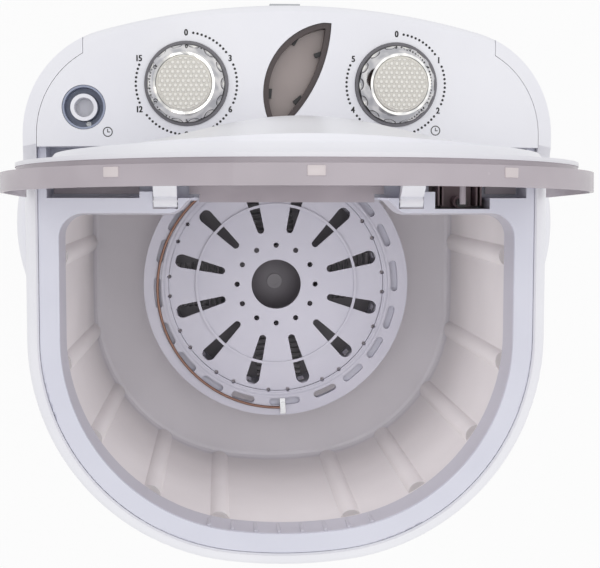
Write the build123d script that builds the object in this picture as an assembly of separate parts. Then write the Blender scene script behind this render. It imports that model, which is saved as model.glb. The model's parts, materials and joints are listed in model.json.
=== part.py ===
"""A small top-loading washing machine: one D-shaped tub, a spin basket and a hinged lid.

Sizes are in millimetres. Z is up, the front of the machine faces -Y, and the floor is at Z = 0.
The origin is the middle of the bottom of the whole object, with the lid standing open.
"""
import os
from math import asin, atan2, ceil, cos, degrees, hypot, pi, radians, sin, sqrt, tan

from build123d import *

# Plan of the body: a shallow front arc, wide corner arcs, straight sides and a bowed back
half_width = 181.0
body_front = -200.3
body_back = 189.6
front_radius = 326.6
front_centre_spread = 21.6
front_corner_radius = half_width - front_centre_spread
back_radius = 472.0
back_corner_radius = 74.0

# Heights of the body
foot_height = 12.0
pan_floor = 3.0
pan_lip = 3.0
pan_wall_height = 28.0
rim_z = 465.0
side_draft = 8.0
draft_top = 340.0

# Casing
casing_wall = 2.6
casing_roof = 3.0
shoulder_width = 9.0
shoulder_round = 7.5
groove_width = 1.4
seam_gap = 0.3
fit_gap = 0.3

# Raised back part with the controls
crown_radius = 765.0
crown_tilt = 2.0
panel_rise = 33.0
panel_wall = 3.0
panel_front = 93.0
panel_front_lean = 1.5
panel_back_half_width = 138.0
panel_back_step = 153.0
back_lean = 3.9
panel_edge_round = 4.0
swoop_start = 72.0
swoop_radius = 28.0

# Drum axis and levels inside the tub
drum_y = -16.4
tub_floor_z = 210.0
tub_wall = 2.5
tub_floor = 3.0
tub_top_drop = 45.0
tub_floor_inset = 25.0
tub_top_inset = 20.5
tub_back = 101.0
tub_corner_radius = 26.0
tub_flange_inset = 12.5
tub_flange = 3.0
tub_floor_round = 5.0
tub_round_steps = 3
tub_rib_radius = 8.5
tub_rib_height = 4.0
side_rib_places = (16.0, 64.0)
corner_rib_angles = (-9.0, -33.0, -57.0, -79.0)

# Deck round the tub mouth
deck_thickness = 3.0
deck_back = 104.0
mouth_inset = 23.0
mouth_back = 48.3
mouth_corner_radius = 17.0
mouth_lip_depth = 27.0
mouth_lip_draft = 2.0
bay_radius = 101.3
bay_back = 79.0
bay_blend = 12.0
trough_front = 58.6
trough_inset = 13.0
trough_half_width = half_width - trough_inset
trough_depth = 30.0
deck_edge_round = 2.0

# Pocket with the lid switch
well_left = 101.5
well_right = 140.0
well_front = 51.1
well_depth = 42.0
switch_x = 121.0
switch_height = 12.0
plunger_y = 55.6
plunger_radius = 2.4
plunger_top_drop = 4.5
plunger_head_radius = 3.6
plunger_head = 1.5
guide_radius = 4.2
guide_height = 14.0

# Lid and hinge
lid_angle = 92.3
hinge_y = 56.5
hinge_drop = 2.0
arm_x = 85.0
arm_width = 16.0
knuckle_radius = 4.5
knuckle_gap = 0.8
pin_radius = 1.6
pin_seat = 5.0
running_gap = 0.05
hinge_side_gap = 0.6
hinge_cheek = 6.0
hinge_outer_cheek = 9.0
hinge_block_depth = 12.0
notch_gap = 1.5
lid_back = 81.5
lid_skirt_bottom = 0.5
lid_skirt_top = 12.0
lid_skirt_wall = 2.2
lid_step_inset = 9.5
lid_plate_top = 15.5
lid_plate = 2.0
lid_rear_clear = 4.5
lid_rear_edge = 3.5
lid_apron = 2.3
lid_apron_half_width = 62.0
lid_corner_radius = 13.0
shell_thickness = 2.5
dome_inset = 28.0
dome_back = 52.0
dome_corner_radius = 42.0
dome_step_run = 5.0
dome_top = 45.4
dome_middle_y = -75.0
dome_slopes = ((40.0, 41.3), (75.0, 33.0), (110.0, 25.9))
dome_edge = (148.0, 23.6)
dome_edge_slope = -0.03
peg_radius = 2.2

# Spin basket
basket_top_z = 271.0
basket_wall_radius = 86.0
basket_wall = 2.5
cover_radius = 89.3
cover_thickness = 3.0
cover_ledge_drop = 5.0
flange_radius = 110.0
flange_depth = 9.0
flange_hem = 2.5
slot_band_inner = 96.0
slot_band_outer = 101.7
slot_pocket_depth = 5.0
long_slot_angle = 15.0
short_slot_angle = 11.6
first_slot_angle = 4.0
ring_ridge_inner = 91.0
ring_ridge_outer = 95.2
ring_ridge_height = 0.8
spoke_slot_inner = 44.0
spoke_slot_outer = 86.4
spoke_slot_inner_width = 5.8
spoke_slot_outer_width = 11.2
spoke_count = 12
spoke_offset = 16.0
cover_hole_circle = 32.6
cover_hole_radius = 2.2
edge_hole_circle = 89.0
edge_hole_radius = 1.7
edge_hole_spread = 5.25
edge_hole_depth = 7.0
centre_hole_radius = 20.6
cover_ridge_inner = 65.2
cover_ridge_outer = 67.4
cover_ridge_height = 1.5
wall_slot_count = 24
wall_slot_width = 5.0

# Wire ring on the basket flange
wire_radius = 1.1
wire_ring_radius = 100.2
wire_shift_x = 1.6
wire_shift_y = -3.2
wire_start = -264.0
wire_sweep = 177.0

# Pulsator and its drive
pulsator_radius = 90.0
pulsator_gap = 6.0
pulsator_thickness = 6.0
hub_radius = 24.0
hub_height = 10.0
hub_cap_radius = 6.3
hub_cap_seat = 0.8
hub_cap_height = 2.2
ladder_half_width = 19.0
ladder_start = 30.0
ladder_end = 82.0
ladder_pitch = 4.6
ladder_slot = 2.8
ladder_turn = 3.0
shaft_radius = 6.0
bush_radius = 10.0
bush_length = 15.0
seal_radius = 14.0
housing_flange_radius = 45.0
housing_radius = 18.0
housing_bottom = 152.0
belt_z = 136.0
belt_width = 7.0
belt_thickness = 4.0
belt_gap = 0.2
pulley_flange = 2.0
drive_seat_radius = 58.0
motor_seat_radius = 15.0
pulley_hub_radius = 14.0

# Motor, base and back fittings
capacitor_inset = 89.0
capacitor_x = capacitor_inset - half_width
capacitor_y = 20.0
capacitor_radius = 17.0
capacitor_length = 62.0
capacitor_rise = 3.0
cradle_half_width = 12.0
cradle_margin = 4.0
motor_inset = 89.0
motor_x = half_width - motor_inset
motor_y = 66.0
motor_radius = 47.0
motor_height = 62.0
motor_shaft_radius = 4.0
bracket_side = 108.0
bracket_thickness = 3.0
pillar_top = 46.0
pillar_radius = 7.0
pillar_offset = 44.0
bolt_radius = 2.5
foot_radius = 16.0
foot_inset = 63.0
foot_x = half_width - foot_inset
foot_front = -105.0
foot_rear = 112.0
cover_half_width = 95.0
cover_low = 44.0
cover_high = 200.0
cover_plate = 2.2
cover_lap = 10.0
drain_inset = 59.0
drain_x = drain_inset - half_width
drain_y = 72.0
drain_radius = 11.0
drain_bore = 8.5
drain_z = 150.0
drain_collar = 4.0
drain_collar_width = 3.0
drain_stub_radius = 10.0
drain_stub_bore = 7.5
drain_stub_length = 14.0
gland_inset = 69.0
gland_x = half_width - gland_inset
gland_z = 62.0
gland_radius = 7.0
gland_bore = 3.4
hook_half_width = 11.0
hook_height = 26.0
hook_drop = 60.0
hook_reach = 8.5
hook_slot_half_width = 6.0
hook_wall = 3.0
handle_y = 40.0
handle_length = 88.0
handle_drop = 22.0
handle_height = 60.0
handle_reach = 8.0
handle_flare = 7.0
handle_round = 6.0
handle_wall = 2.4
handle_end_wall = 9.0

# Timers and knobs
knob_x = 69.7
knob_y = 134.5
bezel_radius = 27.7
bezel_wall = 1.8
bezel_height = 1.2
bezel_seat = 1.5
knob_radius = 25.3
knob_lift = 0.6
knob_height = 14.5
knob_waist_radius = 19.2
knob_foot = 5.0
flute_count = 14
flute_radius = 5.5
flute_bite = 2.2
flute_height = 6.5
cap_radius = 18.2
cap_rise = 1.6
timer_shaft_radius = 3.0
shaft_hole_radius = 8.0
timer_side = 44.0
timer_depth = 24.0
timer_pad = 3.0
timer_pad_radius = 19.0

# Water inlet
inlet_inset = 42.9
inlet_x = inlet_inset - half_width
inlet_y = 119.3
cup_radius = 13.2
cup_wall = 1.3
cup_floor_rise = 3.0
cup_floor = 2.0
inlet_radius = 9.0
inlet_bore = 6.5
elbow_bore = 7.2
inlet_height = 15.0
inlet_drop = 28.0
inlet_screw_radius = 1.7

# Leaf-shaped window
leaf_tip = (25.8, 174.1)
leaf_shoulder = (20.8, 174.4)
leaf_left = (-16.3, 143.2)
leaf_foot = (-10.7, 102.1)
leaf_right = (16.6, 136.9)
window_frame_width = 3.4
window_frame_depth = 9.0
window_frame_drop = 1.2
lens_thickness = 2.0
clip_size = (3.0, 6.5, 3.0)
clip_places = ((2.4, 163.6, 30), (18.4, 154.6, 70), (-14.6, 128.6, 5), (4.4, 124.4, 50))

casing_bottom = foot_height + pan_lip
casing_roof_z = rim_z - casing_roof
tub_top_z = rim_z - tub_top_drop
hinge_z = rim_z - hinge_drop
pulsator_bottom = tub_floor_z + pulsator_gap
pulsator_top = pulsator_bottom + pulsator_thickness
hub_top = pulsator_top + hub_height
cover_seat_z = basket_top_z - cover_ledge_drop
front_middle = body_front + front_radius
back_middle = body_back - back_radius


def corner_centre(big_radius, small_radius, middle_y, side):
    """Centre of a corner arc that touches the side of the body and a big arc from inside."""
    x = half_width - small_radius
    return x, middle_y + side * sqrt((big_radius - small_radius) ** 2 - x**2)


front_corner = corner_centre(front_radius, front_corner_radius, front_middle, -1)
back_corner = corner_centre(back_radius, back_corner_radius, back_middle, 1)


def front_edges(inset):
    """The front of the plan, as three arcs from the left side to the right side."""
    x, y = front_corner
    turn = degrees(atan2(front_middle - y, x))
    return [
        CenterArc((-x, y), front_corner_radius - inset, 180, turn),
        CenterArc((0, front_middle), front_radius - inset, 180 + turn, 180 - 2 * turn),
        CenterArc((x, y), front_corner_radius - inset, -turn, turn),
    ]


def outline(inset):
    """The whole plan of the body, moved in from the outside by inset."""
    side = half_width - inset
    x, y = back_corner
    turn = degrees(atan2(y - back_middle, x))
    edges = front_edges(inset) + [
        Line((side, front_corner[1]), (side, y)),
        CenterArc((x, y), back_corner_radius - inset, 0, turn),
        CenterArc((0, back_middle), back_radius - inset, turn, 180 - 2 * turn),
        CenterArc((-x, y), back_corner_radius - inset, 180 - turn, turn),
        Line((-side, y), (-side, front_corner[1])),
    ]
    return Face(Wire(edges))


def d_plan(inset, back, corner):
    """The plan with a straight back edge at the given Y and rounded back corners."""
    side = half_width - inset
    edges = front_edges(inset) + [
        Line((side, front_corner[1]), (side, back - corner)),
        CenterArc((side - corner, back - corner), corner, 0, 90),
        Line((side - corner, back), (corner - side, back)),
        CenterArc((corner - side, back - corner), corner, 90, 90),
        Line((-side, back - corner), (-side, front_corner[1])),
    ]
    return Face(Wire(edges))


def prism(face, low, high):
    """A plan raised from one height to another."""
    return extrude(Pos(0, 0, low) * face, high - low, dir=(0, 0, 1))


def skin(face_low, low, face_high, high):
    """A straight-sided solid between two plans with the same arcs."""
    return loft([Pos(0, 0, low) * face_low, Pos(0, 0, high) * face_high], ruled=True)


def span(x0, x1, y0, y1, z0, z1):
    """A box from its corners."""
    return Pos((x0 + x1) / 2, (y0 + y1) / 2, (z0 + z1) / 2) * Box(x1 - x0, y1 - y0, z1 - z0)


def rod(x, y, low, high, radius):
    """An upright cylinder."""
    return Pos(x, y, (low + high) / 2) * Cylinder(radius, high - low)


def ring(x, y, low, high, outer, inner):
    """An upright tube."""
    return rod(x, y, low, high, outer) - rod(x, y, low - 1, high + 1, inner)


def body_block(inset, low, high):
    """The body as one solid: drafted below, upright above."""
    foot = side_draft * (draft_top - low) / (draft_top - casing_bottom)
    lower = skin(outline(inset + foot), low, outline(inset), draft_top)
    return lower + prism(outline(inset), draft_top, high)


def crown(drop):
    """The big crowned cylinder that the top of the control panel follows, less a drop."""
    centre = Pos(0, knob_y, rim_z + panel_rise - crown_radius / cos(radians(crown_tilt)))
    return centre * Rot(90 + crown_tilt, 0, 0) * Cylinder(crown_radius - drop, 900)


def crown_z(x, y):
    """Height of the crowned surface."""
    sag = crown_radius - sqrt(crown_radius**2 - x**2)
    return rim_z + panel_rise - sag / cos(radians(crown_tilt)) + (y - knob_y) * tan(radians(crown_tilt))


def back_y(x, z, inset=0.0):
    """Where the outside of the back wall lies at a place across the body and a height."""
    foot = side_draft * max(0.0, draft_top - z) / (draft_top - casing_bottom)
    corner_x, corner_y = back_corner
    if abs(x) * (back_radius - back_corner_radius) > corner_x * (back_radius - inset - foot):
        return corner_y + sqrt((back_corner_radius - inset - foot) ** 2 - (abs(x) - corner_x) ** 2)
    return back_middle + sqrt((back_radius - inset - foot) ** 2 - x**2)


def leaning(inset, low):
    """The plan raised from a height to well above the panel, leaning in above the rim."""
    upper = skin(outline(inset), rim_z, outline(inset + 2 * back_lean), rim_z + 2 * panel_rise)
    return upper + prism(outline(inset), low, rim_z)


def side_keep():
    """Everything behind the swoop where the body rises to the control panel."""
    top = rim_z + 2 * panel_rise
    foot = rim_z - 2 * shoulder_round
    corner = (swoop_start + swoop_radius, rim_z + swoop_radius)
    edges = [
        Line((swoop_start, foot), (swoop_start, rim_z)),
        RadiusArc((swoop_start, rim_z), corner, -swoop_radius),
        Line(corner, (corner[0], top)),
        Line((corner[0], top), (2 * body_back, top)),
        Line((2 * body_back, top), (2 * body_back, foot)),
        Line((2 * body_back, foot), (swoop_start, foot)),
    ]
    return extrude(Plane.YZ * Face(Wire(edges)), 2 * half_width, both=True)


def outer_casing():
    """The white outer shell, with its rounded shoulder and the raised back corners."""
    block = body_block(0, casing_bottom, rim_z)
    block = fillet(block.faces().sort_by(Axis.Z)[-1].edges(), shoulder_round)
    raised = leaning(0, rim_z - 2 * shoulder_round)
    block = block + (raised & side_keep() & crown(0))
    hollow = body_block(casing_wall, casing_bottom - 1, casing_roof_z)
    hollow = fillet(hollow.faces().sort_by(Axis.Z)[-1].edges(), shoulder_round - casing_wall)
    mouth = leaning(shoulder_width, casing_roof_z - 1)
    groove = skin(outline(shoulder_width), rim_z - groove_width, outline(shoulder_width - groove_width), rim_z)
    mouth += groove & span(-half_width, half_width, 2 * body_front, swoop_start, 0, 2 * rim_z)
    back_step = span(-panel_back_half_width - seam_gap, panel_back_half_width + seam_gap,
                     panel_back_step, 2 * body_back, rim_z, rim_z + 2 * panel_rise)
    shell = block - hollow - mouth - back_step
    shell -= span(-cover_half_width + cover_lap, cover_half_width - cover_lap, body_back / 2, 2 * body_back,
                  cover_low + cover_lap, cover_high - cover_lap)
    shell -= Pos(drain_x, body_back, drain_z) * Rot(90, 0, 0) * Cylinder(drain_radius + fit_gap, body_back)
    shell -= Pos(gland_x, body_back, gland_z) * Rot(90, 0, 0) * Cylinder(gland_radius + fit_gap, body_back / 2)
    return shell - rear_cover_screws()


def base_pan():
    """The bottom tray, with a lip for the casing, pillars for the motor and seats for the feet."""
    low = foot_height
    foot = side_draft + casing_wall + fit_gap
    pan = prism(outline(side_draft), low, casing_bottom)
    pan += prism(outline(foot), low, casing_bottom + pan_wall_height)
    pan -= prism(outline(foot + pan_lip), low + pan_floor, casing_bottom + pan_wall_height + 1)
    for x in (-pillar_offset, pillar_offset):
        for y in (-pillar_offset, pillar_offset):
            pan += rod(motor_x + x, motor_y + y, low + pan_floor, pillar_top, pillar_radius)
            pan -= rod(motor_x + x, motor_y + y, low + pan_floor + 2, pillar_top + 1, bolt_radius)
    for x in (-foot_x, foot_x):
        for y in (foot_front, foot_rear):
            pan -= rod(x, y, low - 1, low + pan_floor + 1, foot_radius / 3)
    return pan


def feet():
    """Four rubber feet, each with a stud up into the base pan."""
    parts = []
    for x in (-foot_x, foot_x):
        for y in (foot_front, foot_rear):
            pad = Pos(x, y, foot_height / 2) * Cone(foot_radius * 0.85, foot_radius, foot_height)
            parts.append(pad + rod(x, y, foot_height, foot_height + pan_floor, foot_radius / 3 - fit_gap))
    return Compound(parts)


def rear_cover():
    """The service cover over the motor space, with louvre slots."""
    plate = body_block(-cover_plate, casing_bottom, draft_top + 1)
    plate -= body_block(0, casing_bottom - 1, draft_top + 2)
    plate &= span(-cover_half_width, cover_half_width, body_back / 2, 2 * body_back, cover_low, cover_high)
    slot_pitch = 12.0
    slot_height = 4.0
    slot_half_length = 48.0
    count = 6
    for i in range(count):
        z = (cover_low + cover_high) / 2 + (i - (count - 1) / 2) * slot_pitch
        plate -= span(-slot_half_length, slot_half_length, body_back / 2, 2 * body_back,
                      z - slot_height / 2, z + slot_height / 2)
    return plate - rear_cover_screws()


def rear_cover_screws():
    """Four pan-head screws at the corners of the rear cover."""
    head_radius = 3.6
    head_height = 2.0
    shank_radius = 1.6
    margin = 5.0
    parts = []
    for x in (-cover_half_width + margin, cover_half_width - margin):
        for z in (cover_low + margin, cover_high - margin):
            y = back_y(x, z, -cover_plate)
            head = Pos(x, y + head_height / 2 - 0.4, z) * Rot(90, 0, 0) * Cylinder(head_radius, head_height)
            shank = Pos(x, y - 3, z) * Rot(90, 0, 0) * Cylinder(shank_radius, 8)
            parts.append(head + shank)
    return Compound(parts)


def bow(reach, half_length):
    """A shallow bow against the side of the body, in plan."""
    side = half_width
    arc = ThreePointArc((side, handle_y - half_length), (side + reach, handle_y), (side, handle_y + half_length))
    return Face(Wire([arc, Line((side, handle_y + half_length), (side, handle_y - half_length))]))


def side_handle(side):
    """A moulded grip on the side of the casing, open below for the fingers."""
    top = rim_z - handle_drop
    foot = top - handle_height
    half = handle_length / 2
    hood = skin(bow(handle_reach + handle_flare, half), foot, bow(handle_reach, half), top)
    crest = [e for e in hood.edges() if e.center().Z > top - 0.1 and e.center().X > half_width + 1]
    hood = fillet(crest, handle_round)
    inner = half - handle_end_wall
    reach = handle_reach - handle_wall
    space = skin(bow(reach + handle_flare, inner), foot - 1, bow(reach, inner), top - 2 * handle_wall)
    grip = hood - space
    return grip if side > 0 else mirror(grip, Plane.YZ)


def mouth_plan(inset):
    """The mouth of the tub: a D with a round bay at the back for the basket, moved in by inset."""
    back = mouth_back - inset
    far = bay_back - inset
    radius = bay_radius - inset
    mouth = Sketch() + d_plan(mouth_inset + inset, back, mouth_corner_radius - inset)
    bay = Pos(0, drum_y) * Circle(radius) & Pos(0, far / 2) * Rectangle(2 * radius, far)
    plan = mouth + bay
    inner_corners = [v for v in plan.vertices() if abs(v.Y - back) < 0.01 and abs(v.X) < radius]
    plan = fillet(inner_corners, bay_blend + inset)
    back_corners = [v for v in plan.vertices() if abs(v.Y - far) < 0.01]
    return fillet(back_corners, bay_blend / 2 - inset)


def hinge_block(side):
    """The two cheeks in the deck that hold one hinge pin on both sides of the lid arm."""
    half = arm_width / 2 + hinge_side_gap
    low = rim_z - hinge_block_depth
    outer = span(arm_x + half - 1, arm_x + half + hinge_outer_cheek, trough_front - 2,
                 hinge_y + knuckle_radius + 2, low, rim_z)
    inner = span(arm_x - half - hinge_cheek, arm_x + half, hinge_y - pin_radius - 1, trough_front, low, rim_z)
    block = outer + inner
    return block if side > 0 else mirror(block, Plane.YZ)


def hinge_cut(side):
    """The space for the arm's knuckle and the hole for its pin."""
    half = arm_width / 2 + hinge_side_gap
    slot = span(arm_x - half, arm_x + half, hinge_y - knuckle_radius - knuckle_gap, hinge_y + knuckle_radius + 3,
                hinge_z - knuckle_radius - knuckle_gap, rim_z + 1)
    hole = Pos(arm_x, hinge_y, hinge_z) * Rot(0, 90, 0) * Cylinder(pin_radius, 2 * (half + pin_seat))
    cut = slot + hole
    return cut if side > 0 else mirror(cut, Plane.YZ)


def top_frame():
    """The deck: rim band, tub mouth with its lip, trough behind the hinge, switch pocket and collar."""
    plate_low = rim_z - deck_thickness
    wall = deck_thickness * 0.8
    plan = outline(shoulder_width + seam_gap)
    plate = prism(plan, plate_low, rim_z)
    plate = fillet(plate.faces().sort_by(Axis.Z)[-1].edges(), deck_edge_round)
    plate &= span(-half_width, half_width, 2 * body_front, deck_back, 0, 2 * rim_z)
    flange_top = casing_roof_z
    under = prism(outline(shoulder_round), flange_top - deck_thickness, flange_top)
    under &= span(-half_width, half_width, 2 * body_front, deck_back, 0, 2 * rim_z)
    collar_plan = d_plan(tub_flange_inset, tub_back + tub_wall, tub_corner_radius)
    collar_space = d_plan(tub_flange_inset + wall, tub_back + tub_wall - wall, tub_corner_radius - wall)
    collar = prism(collar_plan, tub_top_z + tub_flange, rim_z - 1) - prism(collar_space, 0, 2 * rim_z)
    trough = span(-trough_half_width, trough_half_width, trough_front - wall, panel_front + wall,
                  rim_z - trough_depth - wall, rim_z)
    pocket = span(well_left - wall, well_right + wall, well_front - wall, panel_front + wall,
                  rim_z - well_depth - wall, rim_z)
    frame = plate + (under - prism(collar_space, 0, 2 * rim_z)) + collar
    frame += trough + pocket
    lip_low = rim_z - mouth_lip_depth
    lip = skin(mouth_plan(mouth_lip_draft - wall), lip_low, mouth_plan(-wall), rim_z)
    space = skin(mouth_plan(mouth_lip_draft), lip_low - 1, mouth_plan(0.0), rim_z + 1)
    frame += lip
    frame += hinge_block(-1)
    frame += hinge_block(1)
    frame -= span(-trough_half_width + wall, trough_half_width - wall, trough_front, panel_front,
                  rim_z - trough_depth, rim_z + 1) - hinge_block(-1) - hinge_block(1)
    frame -= span(well_left, well_right, well_front, panel_front, rim_z - well_depth, rim_z + 1)
    frame -= space
    frame -= hinge_cut(-1)
    frame -= hinge_cut(1)
    frame -= Pos(inlet_x, tub_back, rim_z - inlet_drop) * Rot(90, 0, 0) * Cylinder(inlet_radius + fit_gap, 12)
    return frame


def control_panel():
    """The crowned cover with the holes for the dials, the inlet cup and the leaf window."""
    high = rim_z + 2 * panel_rise
    lean = (high - rim_z) * sin(radians(panel_front_lean))

    def solid(drop):
        front = [(panel_front + drop, rim_z - drop), (panel_front + drop + lean, high),
                 (2 * body_back, high), (2 * body_back, rim_z - drop)]
        keep = extrude(Plane.YZ * Polygon(*front, align=None), half_width, both=True)
        middle = leaning(shoulder_width + seam_gap + drop, rim_z - 2 * panel_wall)
        back = leaning(drop, rim_z - 2 * panel_wall)
        back &= span(-panel_back_half_width + drop, panel_back_half_width - drop, panel_back_step + drop,
                     2 * body_back, 0, 2 * rim_z)
        return (middle + back) & keep & crown(drop)

    panel = solid(0.0)
    rim_edges = [e for e in panel.edges() if e.center().Y > panel_back_step + 8 and e.center().Z > rim_z + 8
                 and e.length > 60]
    panel = fillet(rim_edges, panel_edge_round)
    panel -= solid(panel_wall)
    for side in (-1, 1):
        place = knob_place(side)
        panel += place * Pos(0, 0, -panel_wall - timer_pad / 2 + 0.5) * Cylinder(timer_pad_radius, timer_pad + 1)
        panel -= place * Pos(0, 0, 5 - bezel_seat) * Cylinder(bezel_radius + fit_gap, 10)
        panel -= place * Cylinder(shaft_hole_radius, 40)
    panel -= rod(inlet_x, inlet_y, rim_z - 1, high, cup_radius + cup_wall + fit_gap)
    panel -= prism(leaf_plan(-fit_gap), rim_z - 1, high)
    return panel


def knob_place(side):
    """The plane of one dial: its origin on the crowned panel and Z along the tilted shaft."""
    turn = degrees(asin(knob_x / crown_radius))
    z = crown_z(knob_x, knob_y)
    return Pos(side * knob_x, knob_y, z) * Rot(crown_tilt, 0, 0) * Rot(0, side * turn, 0)


def leaf_plan(inset):
    """The leaf outline of the window, moved in by inset."""
    edges = [
        Line(leaf_tip, leaf_shoulder),
        ThreePointArc(leaf_shoulder, leaf_left, leaf_foot),
        ThreePointArc(leaf_foot, leaf_right, leaf_tip),
    ]
    leaf = Face(Wire(edges))
    return offset(leaf, -inset) if inset else leaf


def window_frame():
    """The dark rim inside the leaf opening."""
    tube = prism(leaf_plan(0), rim_z - 1, rim_z + 2 * panel_rise) & crown(window_frame_drop)
    tube -= crown(window_frame_drop + window_frame_depth)
    return tube - prism(leaf_plan(window_frame_width), 0, 2 * rim_z)


def window_lens():
    """The smoked lens under the rim."""
    top = window_frame_drop + window_frame_depth
    lens = prism(leaf_plan(0), rim_z - 1, rim_z + 2 * panel_rise) & crown(top)
    return lens - crown(top + lens_thickness)


def window_clips():
    """Four small dark clips on the lens inside the rim."""
    top = window_frame_drop + window_frame_depth
    inside = prism(leaf_plan(window_frame_width), rim_z, rim_z + 2 * panel_rise)
    parts = []
    for x, y, turn in clip_places:
        z = crown_z(x, y) - top + clip_size[2] / 2
        block = Pos(x, y, z) * Rot(0, 0, -turn) * Box(*clip_size)
        parts.append((block & inside) - crown(top))
    return Compound(parts)


def bezel(side):
    """The dark ring and dish round a dial."""
    low = -bezel_seat
    body = Pos(0, 0, (low + bezel_height) / 2) * Cylinder(bezel_radius, bezel_height - low)
    body -= Pos(0, 0, low + 0.8 + 5) * Cylinder(bezel_radius - bezel_wall, 10)
    body -= Cylinder(shaft_hole_radius, 40)
    return knob_place(side) * body


def knob_ring(side):
    """The fluted ring that is turned by hand, with a hub for the shaft."""
    low = -bezel_seat + 0.8 + knob_lift
    profile = [(knob_radius, low), (knob_radius, low + knob_foot), (knob_waist_radius + 1, knob_height),
               (knob_waist_radius - 0.6, knob_height), (knob_waist_radius - 0.6, low + knob_foot),
               (timer_shaft_radius, low + knob_foot), (timer_shaft_radius, low)]
    body = revolve(Plane.XZ * Polygon(*profile, align=None), Axis.Z)
    for i in range(flute_count):
        turn = 360 * i / flute_count
        cut = Pos(knob_radius + flute_radius - flute_bite, 0, flute_height) * Sphere(flute_radius)
        body -= Rot(0, 0, turn) * cut
    hub = ring(0, 0, low + knob_foot, low + knob_foot + 7, timer_shaft_radius + 3, timer_shaft_radius)
    return knob_place(side) * (body + hub)


def knob_cap(side):
    """The pale translucent cap in the middle of a dial."""
    low = -bezel_seat + 0.8 + knob_lift + knob_foot
    high = knob_height + cap_rise
    cap = rod(0, 0, low, high, cap_radius)
    cap = fillet(cap.faces().sort_by(Axis.Z)[-1].edges(), cap_rise)
    cap -= rod(0, 0, low - 1, low + 7 + fit_gap, timer_shaft_radius + 3 + fit_gap)
    cap -= rod(0, 0, low - 1, low + 9.5, timer_shaft_radius)
    return knob_place(side) * cap


def knob_shaft(side):
    """The timer shaft up to the knob."""
    low = -panel_wall - timer_pad - timer_depth + 4
    high = -bezel_seat + 0.8 + knob_lift + knob_foot + 9
    return knob_place(side) * rod(0, 0, low, high, timer_shaft_radius)


def timer(side):
    """A clockwork timer under the panel, with its bored neck for the shaft."""
    top = -panel_wall - timer_pad
    case = Pos(0, 0, top - timer_depth / 2) * Box(timer_side, timer_side, timer_depth)
    case = fillet(case.edges().filter_by(Axis.Z), 4)
    case -= rod(0, 0, top - timer_depth + 3, top + 1, timer_shaft_radius + running_gap)
    return knob_place(side) * case


def inlet_cup():
    """The round recess of the water inlet."""
    low = rim_z + cup_floor_rise
    cup = rod(inlet_x, inlet_y, low, rim_z + 2 * panel_rise, cup_radius + cup_wall) & crown(0.4)
    cup -= rod(inlet_x, inlet_y, low + cup_floor, rim_z + 2 * panel_rise, cup_radius)
    return cup - rod(inlet_x, inlet_y, low - 1, low + cup_floor + 1, inlet_radius + fit_gap)


def inlet_spigot():
    """The white pipe stub that the tap hose pushes into."""
    low = rim_z + cup_floor_rise
    return ring(inlet_x, inlet_y, low, low + inlet_height, inlet_radius, inlet_bore)


def inlet_elbow():
    """The pipe from the stub down and forward into the tub."""
    high = rim_z + cup_floor_rise
    turn_z = rim_z - inlet_drop
    reach = inlet_y - tub_back + 2 * tub_wall

    def path(radius, extra):
        down = rod(inlet_x, inlet_y, turn_z, high + extra, radius)
        knee = Pos(inlet_x, inlet_y, turn_z) * Sphere(radius)
        across = Pos(inlet_x, inlet_y - (reach + extra) / 2, turn_z) * Rot(90, 0, 0) * Cylinder(radius, reach + extra)
        return down + knee + across

    return path(inlet_radius, 0) - path(elbow_bore, 2)


def inlet_screw():
    """The small screw in the floor of the inlet cup."""
    low = rim_z + cup_floor_rise + cup_floor
    distance = (cup_radius + inlet_radius) / 2
    return rod(inlet_x + distance * 0.2, inlet_y - distance * 0.97, low, low + 1.6, inlet_screw_radius)


def opened(shape):
    """A lid piece drawn closed, swung up to its rest place."""
    return Pos(0, hinge_y, hinge_z) * Rot(-lid_angle, 0, 0) * Pos(0, -hinge_y, -hinge_z) * shape


def hinge_notches():
    """The notches at the back of the lid that clear the hinge blocks and the switch pocket."""
    half = arm_width / 2 + hinge_side_gap + notch_gap
    top = rim_z + 2 * dome_top
    notch = span(arm_x - half - hinge_cheek, arm_x + half + hinge_outer_cheek, hinge_y - 2 * knuckle_radius,
                 2 * lid_back, rim_z - 1, top)
    pocket = span(arm_x, well_right + notch_gap, hinge_y + 2, 2 * lid_back, rim_z - 1, top)
    return notch + mirror(notch, Plane.YZ) + pocket


def lid_tray():
    """The smoky translucent underside of the lid: skirt, step and plate."""
    side = trough_half_width - lid_skirt_wall - lid_rear_clear / 2
    low = rim_z + lid_skirt_bottom

    def plan(inset):
        return d_plan(inset, lid_back - inset, lid_corner_radius)

    tray = prism(plan(0), low, rim_z + lid_skirt_top)
    tray += prism(plan(lid_step_inset), rim_z + lid_skirt_top - 1, rim_z + lid_plate_top)
    tray -= prism(plan(lid_skirt_wall), low - 1, rim_z + lid_skirt_top - lid_plate)
    tray -= prism(plan(lid_step_inset + lid_skirt_wall), low - 1, rim_z + lid_plate_top - lid_plate)
    for x in (-1, 1):
        edge = side if x > 0 else -half_width - 1
        tray -= span(edge, edge + half_width + 1 - side, hinge_y - lid_rear_clear, 2 * lid_back, rim_z, rim_z + dome_top)
    tray -= span(-half_width, half_width, hinge_y - lid_rear_clear, 2 * lid_back, rim_z, rim_z + lid_rear_edge)
    tray += span(-lid_apron_half_width, lid_apron_half_width, lid_back - lid_skirt_wall, lid_back,
                 rim_z - lid_apron, rim_z + lid_skirt_top - lid_plate)
    tray -= hinge_notches()
    peg = rod(switch_x, plunger_y, rim_z - plunger_top_drop + fit_gap, rim_z + lid_plate_top - lid_plate, peg_radius)
    return opened(tray + peg)


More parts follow.
